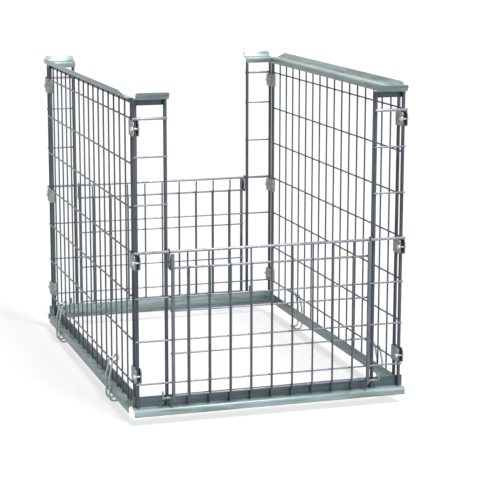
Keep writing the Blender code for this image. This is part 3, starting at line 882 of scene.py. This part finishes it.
@dataclass
class PalletHook:
    """A loop of wire over the lowest side wire: handle inside the mesh, legs outside the lip."""

    half_width: float = 20.0
    section: Sequence[Flat] = (
        (-6.5, 86.0), (0.04, 76.69), (13.1, 76.69), (23.3, 26.0), (23.3, -40.2), (3.3, -42.0), (-2.7, -39.0),
    )
    bends: Sequence[float] = (6.0, 6.0, 6.19, 20.0, 14.0, 6.0, 6.0)
    places: dict[str, tuple[tuple[str, float], ...]] = field(
        default_factory=lambda: {
            "left": (("front", 324.12), ("back", -388.94)),
            "right": (("back", 324.12), ("front", -388.94)),
        }
    )

    def build(self, wall: Wall, stock: BarStock) -> None:
        """Makes a side wall's two hooks.

        Args:
            wall: the side wall.
            stock: the round stock.
        """
        leg = [(self.half_width, *point) for point in self.section]
        path = [(0.0, *self.section[0]), *leg, (0.0, *self.section[-1])]
        for word, along in self.places[wall.word]:
            draft = Draft()
            draft.bent_wire(path, self.bends, stock.bent, closed_ends=False)
            draft.mirrored()
            draft.moved(Vector((along, 0, 0)))
            name = f"{wall.word}_{word}_hook"
            draft.publish(name, wall, name, [FINISH.hook_wire])


@dataclass
class SideWall:
    """A long wall: full mesh between two end bars, base rail, flared top rail."""

    wall: Wall
    stock: BarStock = field(default_factory=BarStock)
    rails: RailProfile = field(default_factory=RailProfile)
    bar_place: float = 551.0
    uprights: int = 16
    level_half: float = 557.0
    rail_half: float = 558.0
    bar_touch: float = 5.15
    levels: Sequence[float] = field(default_factory=lambda: [70.5 + i * 728.5 / 6 for i in range(7)])

    def build(self) -> None:
        """Makes the wall's rails, bars, mesh, clamps and hooks."""
        base = self.rails.base(self.rail_half, self.bar_place)
        top = self.rails.top(self.rail_half, self.rails.flare_cutback)
        for rail, sheet in (("base", base), ("top", top)):
            sheet.build(f"{self.wall.word}_{rail}_rail", self.wall)
        self._end_bars()
        self._mesh()
        CornerClamp().build(self.wall)
        PalletHook().build(self.wall, self.stock)

    def _end_bars(self) -> None:
        """The two end bars, welded to the ledges and to the level wires."""
        stock = self.stock
        for end, word in self.wall.ends:
            draft = Draft()
            along = end * self.bar_place
            stock.bar_upright(draft, along)
            stock.crossings(draft, [along], self.levels, self.bar_touch, stock.bar_flash)
            name = f"{self.wall.word}_{word}_end_bar"
            draft.publish(name, self.wall, self.wall.body, [FINISH.round_bar, FINISH.weld])

    def _mesh(self) -> None:
        """The mesh: uprights inside, level wires outside."""
        stock = self.stock
        draft = Draft()
        places = spread(self.uprights, self.bar_place)
        out = stock.upright_out
        for along in places:
            draft.rod((along, out, stock.foot), (along, out, stock.head), stock.wire)
            ends = (stock.foot + stock.wire_sink, stock.head - stock.wire_sink)
            stock.stand_welds(draft, along, out, stock.wire, ends)
        for up in self.levels:
            stock.level(draft, -self.level_half, self.level_half, stock.level_out, up)
        stock.crossings(draft, places, self.levels, stock.mesh_touch, stock.wire_flash)
        # The side walls' level wires take the copy with painted shade.
        finishes = [FINISH.upright_wire, FINISH.weld, FINISH.side_wire]
        draft.publish(f"{self.wall.word}_mesh", self.wall, self.wall.body, finishes)


@dataclass
class DropGate:
    """A half-height gate that hangs on the hinge rod by two long eyes and latches at its foot."""

    wall: Wall
    stock: BarStock = field(default_factory=BarStock)
    slide: float = -4.0
    bar_place: float = 285.0
    bar_out: float = 22.6
    bar_span: tuple[float, float] = (22.0, 432.5)
    level_out: float = 14.8
    upright_out: float = 19.55
    upright_span: tuple[float, float] = (31.0, 395.5)
    level_half: float = 290.0
    bar_touch: float = 17.45
    uprights: int = 9
    upright_pitch: float = 59.5
    levels: Sequence[float] = field(default_factory=lambda: [34.5 + i * 357.5 / 3 for i in range(4)])
    top_wire: float = 6.5
    eye_place: float = 291.4
    eye_thickness: float = 2.2
    slot_radius: float = 4.73
    rim: float = 4.5
    slot_span: tuple[float, float] = (397.5, 436.5)
    foot_out: float = 25.1
    foot_height: float = 388.4
    eye_edge: float = 0.35
    eye_welds: Sequence[Point] = ((290.2, 24.2, 393.0), (290.2, 24.2, 405.0), (290.2, 24.2, 417.0))
    eye_weld_size: Point = (1.6, 1.6, 5.2)
    latch_root: Sequence[Point] = ((280.0, 14.3, 28.0), (287.5, 14.3, 28.0))
    latch_arm: Sequence[Point] = (
        (298.0, 9.3, 28.0), (307.0, 9.3, 28.0), (318.0, 17.3, 28.0), (318.0, 17.3, 50.0),
    )
    latch_bends: Sequence[float] = (5.0, 5.0, 5.0, 4.0)
    latch_welds: Sequence[Point] = ((284.0, 17.5, 25.4), (284.0, 17.5, 30.6))
    latch_weld_size: Point = (4.2, 1.3, 1.5)

    @property
    def body(self) -> str:
        """The body that the gate's pieces ride on."""
        return f"{self.wall.word}_gate"

    def _place(self, along: float) -> float:
        """A place on the gate, slid to one side of its play between the strips."""
        return along + self.slide

    def build(self) -> None:
        """Makes the gate's mesh, side bars, eyes and latches."""
        self._mesh()
        for end, word in self.wall.ends:
            self._side_bar(end, word)
            self._eye(end, word)
            self._latch(end, word)

    def _mesh(self) -> None:
        """The gate's mesh: level wires on the wall's side, uprights outside them."""
        draft = Draft()
        middle = (self.uprights - 1) / 2
        places = [self._place((i - middle) * self.upright_pitch) for i in range(self.uprights)]
        low, high = self.upright_span
        for along in places:
            draft.rod((along, self.upright_out, low), (along, self.upright_out, high), self.stock.wire)
        left, right = self._place(-self.level_half), self._place(self.level_half)
        for up in self.levels:
            width = self.top_wire if up == self.levels[-1] else self.stock.wire
            self.stock.level(draft, left, right, self.level_out, up, width)
        touch = (self.level_out + self.upright_out) / 2
        self.stock.crossings(draft, places, self.levels, touch, self.stock.wire_flash)
        # The level wires take the pale copy with painted reflection.
        finishes = [FINISH.upright_wire, FINISH.weld, FINISH.level_wire]
        draft.publish(f"{self.body}_mesh", self.wall, self.body, finishes)

    def _side_bar(self, end: int, word: str) -> None:
        """One of the gate's two side bars.

        Args:
            end: the sign of the gate's side.
            word: its word in piece names.
        """
        draft = Draft()
        along = self._place(end * self.bar_place)
        low, high = self.bar_span
        draft.rod((along, self.bar_out, low), (along, self.bar_out, high), self.stock.bar, BAR_SIDES)
        self.stock.crossings(draft, [along], self.levels, self.bar_touch, self.stock.bar_flash)
        name = f"{self.body}_{word}_bar"
        # The side bar takes the copy of the round bar that is lightened with painted highlight.
        draft.publish(name, self.wall, self.body, [FINISH.gate_bar, FINISH.weld])

    def _eye(self, end: int, word: str) -> None:
        """A flat strap with a long eye round the hinge rod, welded to the side bar.

        Args:
            end: the sign of the gate's side.
            word: its word in piece names.
        """
        draft = Draft()
        bm = draft.bm
        centre = self.stock.rod_out
        low, high = self.slot_span
        outer = self.slot_radius + self.rim
        away = Vector((self.foot_out - centre, low - high))
        touch = math.degrees(math.atan2(away.y, away.x) + math.acos(outer / away.length))
        left = self._place(end * self.eye_place) - self.eye_thickness / 2
        self._loop(draft, left, outer, touch, ((self.foot_out, self.foot_height), (self.foot_out, low)))
        self._loop(draft, left, self.slot_radius, 0.0, ())
        faces = bmesh.ops.triangle_fill(bm, use_beauty=True, use_dissolve=False, edges=bm.edges[:])["geom"]
        flat = [g for g in faces if isinstance(g, BMFace)]
        raised = bmesh.ops.extrude_face_region(bm, geom=flat, use_keep_orig=True)["geom"]
        verts = [g for g in raised if isinstance(g, BMVert)]
        bmesh.ops.translate(bm, verts=verts, vec=(self.eye_thickness, 0, 0))
        bmesh.ops.recalc_face_normals(bm, faces=bm.faces)
        outlines = [e for e in bm.edges if abs(e.verts[0].co.x - e.verts[1].co.x) < NEAR]
        rims = [e for e in outlines if e.calc_face_angle(0.0) > math.radians(CORNER_ANGLE)]
        draft.soften(rims, self.eye_edge)
        for along, out, up in self.eye_welds:
            draft.bead((self._place(end * along), out, up), self.eye_weld_size)
        name = f"{self.body}_{word}_eye"
        draft.publish(name, self.wall, self.body, [FINISH.round_bar, FINISH.weld])

    def _loop(self, draft: Draft, left: float, radius: float, touch: float, foot: Sequence[Flat]) -> None:
        """Draws a long hole's or the eye's closed outline in a plane across the wall.

        Args:
            draft: the piece.
            left: the plane's place along the wall.
            radius: the radius of its round ends.
            touch: where the upper round starts, in degrees from straight out.
            foot: points of the outline between the lower round and the upper one, as (out, up).
        """
        centre = self.stock.rod_out
        low, high = self.slot_span
        start = math.radians(touch)
        corner = place((left, centre + radius * math.cos(start), high + radius * math.sin(start)))
        first = vert = draft.bm.verts.new(corner)
        for up, angle in ((high, 180.0 - touch), (low, 90.0 if foot else 180.0)):
            if up == low:
                vert = draft.run(vert, place((left, centre - radius, low)))
            vert = draft.turn(vert, (left, -centre, up), (-1, 0, 0), angle, round(angle / EYE_STEP))
        for point in foot:
            vert = draft.run(vert, place((left, *point)))
        draft.bm.edges.new((vert, first))

    def _latch(self, end: int, word: str) -> None:
        """The bent wire at the gate's foot that drops over a keeper rod.

        Args:
            end: the sign of the gate's side.
            word: its word in piece names.
        """
        draft = Draft()
        path = [(self._place(end * along), out, up) for along, out, up in self.latch_root]
        path += [(end * along, out, up) for along, out, up in self.latch_arm]
        draft.bent_wire(path, self.latch_bends, self.stock.bent, sides=LATCH_SIDES)
        for along, out, up in self.latch_welds:
            draft.bead((self._place(end * along), out, up), self.latch_weld_size)
        name = f"{self.body}_{word}_latch"
        draft.publish(name, self.wall, self.body, [FINISH.latch_wire, FINISH.weld])


@dataclass
class GateWall:
    """A short wall: fixed lower mesh, hinge rod and two full-height strips under caps."""

    wall: Wall
    stock: BarStock = field(default_factory=BarStock)
    rails: RailProfile = field(default_factory=RailProfile)
    outer_bar: float = 384.5
    inner_bar: float = 302.0
    rail_half: float = 398.0
    rod_half: float = 393.5
    rod_up: float = 436.5
    keeper_up: float = 799.0
    keeper_inner: float = 298.0
    level_half: float = 390.5
    bar_touch: float = 5.3
    strip_touch: float = 5.0
    strip_level_out: float = 7.25
    rod_touch: float = 5.2
    rod_weld: Point = (5.0, 1.2, 3.6)
    cap_corner: float = 6.0
    levels: Sequence[float] = (70.5, 190.5, 310.5)
    strip_wires: Sequence[float] = (566.25, 696.0)
    uprights: int = 9
    upright_top: float = 432.2
    cap_span: tuple[float, float] = (295.5, 388.0)

    def build(self) -> None:
        """Makes the wall's rail, rods, lower mesh, strips and caps."""
        word = self.wall.word
        base = self.rails.base(self.rail_half, self.rail_half)
        base.build(f"{word}_base_rail", self.wall)
        self._bright_rod("hinge_rod", -self.rod_half, self.rod_half, self.rod_up, (-1, 1))
        self._lower_mesh()
        for end, side in self.wall.ends:
            self._strip(end, side)
            keeper = (end * self.keeper_inner, end * self.rod_half)
            self._bright_rod(f"{side}_keeper_rod", *keeper, self.keeper_up, (end,))
            low, high = self.cap_span
            sheet = self.rails.top((high - low) / 2, 0.0, end * (low + high) / 2, self.cap_corner)
            sheet.build(f"{word}_{side}_cap", self.wall)

    def _bright_rod(self, name: str, start: float, stop: float, up: float, ends: Iterable[int]) -> None:
        """A thick level rod: the hinge rod, or a keeper that the gate's latch drops over.

        Args:
            name: its name without the wall's word.
            start: where it starts along the wall.
            stop: where it stops.
            up: its height.
            ends: the signs of the wall's ends where it is welded to both bars.
        """
        draft = Draft()
        out = self.stock.rod_out
        draft.rod((start, out, up), (stop, out, up), self.stock.rod, ROD_SIDES)
        for end in ends:
            for along in (self.outer_bar, self.inner_bar):
                draft.bead((end * along, self.rod_touch, up), self.rod_weld)
        finishes = [FINISH.bright_rod, FINISH.weld]
        draft.publish(f"{self.wall.word}_{name}", self.wall, self.wall.body, finishes)

    def _lower_mesh(self) -> None:
        """The fixed mesh under the hinge rod."""
        stock = self.stock
        draft = Draft()
        places = spread(self.uprights, self.inner_bar)
        out = stock.upright_out
        for along in places:
            draft.rod((along, out, stock.foot), (along, out, self.upright_top), stock.wire)
            stock.stand_welds(draft, along, out, stock.wire, (stock.foot + stock.wire_sink,))
        for up in self.levels:
            stock.level(draft, -self.level_half, self.level_half, stock.level_out, up)
        stock.crossings(draft, places, self.levels, stock.mesh_touch, stock.wire_flash)
        bars = [end * along for end in (-1, 1) for along in (self.outer_bar, self.inner_bar)]
        stock.crossings(draft, bars, self.levels, self.bar_touch, stock.bar_flash)
        # The level wires take the pale copy with painted reflection.
        finishes = [FINISH.upright_wire, FINISH.weld, FINISH.level_wire]
        draft.publish(f"{self.wall.word}_lower_mesh", self.wall, self.wall.body, finishes)

    def _strip(self, end: int, side: str) -> None:
        """A strip: outer bar, inner bar and the short wires between them.

        Args:
            end: the sign of the wall's end.
            side: its word in piece names.
        """
        stock = self.stock
        draft = Draft()
        bars = [end * self.outer_bar, end * self.inner_bar]
        for along in bars:
            stock.bar_upright(draft, along)
        for up in self.strip_wires:
            stock.level(draft, end * self.keeper_inner, end * self.level_half, self.strip_level_out, up)
        stock.crossings(draft, bars, self.strip_wires, self.strip_touch, stock.bar_flash)
        # The strip wires take the pale level copy with painted reflection.
        finishes = [FINISH.round_bar, FINISH.weld, FINISH.level_wire]
        draft.publish(f"{self.wall.word}_{side}_strip", self.wall, self.wall.body, finishes)


@dataclass(frozen=True)
class Lamp:
    """A wide soft lamp: its turn about X, Y and Z and its width in degrees."""

    name: str
    aim: Point
    strength: float
    width: float

    def build(self) -> None:
        """Hangs the lamp up."""
        data = bpy.data.lights.new(self.name, "SUN")
        data.energy = self.strength
        data.angle = math.radians(self.width)
        lamp = bpy.data.objects.new(self.name, data)
        lamp.rotation_euler = [math.radians(a) for a in self.aim]
        bpy.context.scene.collection.objects.link(lamp)


@dataclass
class Studio:
    """The camera, the plain pale floor and the soft light."""

    eye: Point = (-1.4645, -4.9336, 1.3816)
    turn: Point = (1.7519, -0.2732, 0.2275)
    lens: float = 122.148
    fill_level: float = 0.15
    floor_tone: float = 0.42
    floor_glow: float = 0.7
    floor_roughness: float = 0.9
    floor_half: float = 40.0
    sensor: float = 36.0
    lamps: Sequence[Lamp] = (
        Lamp("key", (28.0, 0.0, 20.0), 2.35, 12.0),
        Lamp("fill", (70.0, 0.0, 8.0), 0.5, 40.0),
        Lamp("rim", (-60.0, 0.0, -16.0), 0.25, 30.0),
    )

    def build(self) -> None:
        """Sets the studio up."""
        scene = bpy.context.scene
        scene.view_settings.view_transform = "Standard"
        self._camera(scene)
        self._world(scene)
        for lamp in self.lamps:
            lamp.build()
        self._floor()

    def _camera(self, scene: bpy.types.Scene) -> None:
        """The camera, turned by the rotation vector from the object's frame into its own."""
        turn = Vector(self.turn)
        seen = Matrix.Rotation(turn.length, 3, turn.normalized())
        data = bpy.data.cameras.new("view")
        data.lens = self.lens
        data.sensor_width = self.sensor
        camera = bpy.data.objects.new("view", data)
        axes = Matrix((seen[0], -seen[1], -seen[2])).transposed()
        camera.matrix_world = Matrix.Translation(self.eye) @ axes.to_4x4()
        scene.collection.objects.link(camera)
        scene.camera = camera

    def _world(self, scene: bpy.types.Scene) -> None:
        """White to the camera and in reflections, a plain soft level for the light itself."""
        world = bpy.data.worlds.new("studio")
        scene.world = world
        world.use_nodes = True
        tree = world.node_tree
        strength = self._seen_level(tree, self.fill_level, 1.0)
        set_inputs(tree, tree.nodes["Background"], {"Color": WHITE, "Strength": strength})

    def _seen_level(self, tree: Tree, unseen: float, seen: float) -> Socket:
        """A value that differs where the background shows: to the camera, in reflections and through glass.

        Args:
            tree: the node tree.
            unseen: the value for the light itself.
            seen: the value where the background shows.

        Returns:
            The value.
        """
        rays = tree.nodes.new("ShaderNodeLightPath").outputs
        shows = rays["Is Camera Ray"]
        for other in ("Is Glossy Ray", "Is Transmission Ray"):
            either = add_node(tree, "Math", {0: shows, 1: rays[other]})
            either.operation = "MAXIMUM"
            shows = either.outputs[0]
        level = add_node(tree, "MapRange", {"Value": shows, "To Min": unseen, "To Max": seen})
        return level.outputs["Result"]

    def _floor(self) -> None:
        """A wide pale floor that keeps the shadow."""
        bm = bmesh.new()
        bmesh.ops.create_grid(bm, x_segments=2, y_segments=2, size=self.floor_half)
        mesh = bpy.data.meshes.new("floor")
        bm.to_mesh(mesh)
        bm.free()
        material = bpy.data.materials.new("pale_floor")
        material.use_nodes = True
        tree = material.node_tree
        glow = self._seen_level(tree, 0.0, self.floor_glow)
        set_inputs(tree, tree.nodes["Principled BSDF"], {
            "Base Color": (self.floor_tone,) * 3 + (1.0,), "Roughness": self.floor_roughness,
            "Specular IOR Level": 0.0, "Emission Color": WHITE, "Emission Strength": glow,
        })
        mesh.materials.append(material)
        floor = bpy.data.objects.new("floor", mesh)
        bpy.context.scene.collection.objects.link(floor)


def main() -> None:
    """Loads the frame, sets up the studio and dresses every sub-assembly."""
    logging.basicConfig(level=logging.INFO, format="%(message)s")
    for old in list(bpy.data.objects):
        bpy.data.objects.remove(old, do_unlink=True)
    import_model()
    Studio().build()
    for wall in (Wall.FRONT, Wall.BACK):
        GateWall(wall).build()
        DropGate(wall).build()
    for wall in (Wall.LEFT, Wall.RIGHT):
        SideWall(wall).build()


if __name__ == "__main__":
    main()
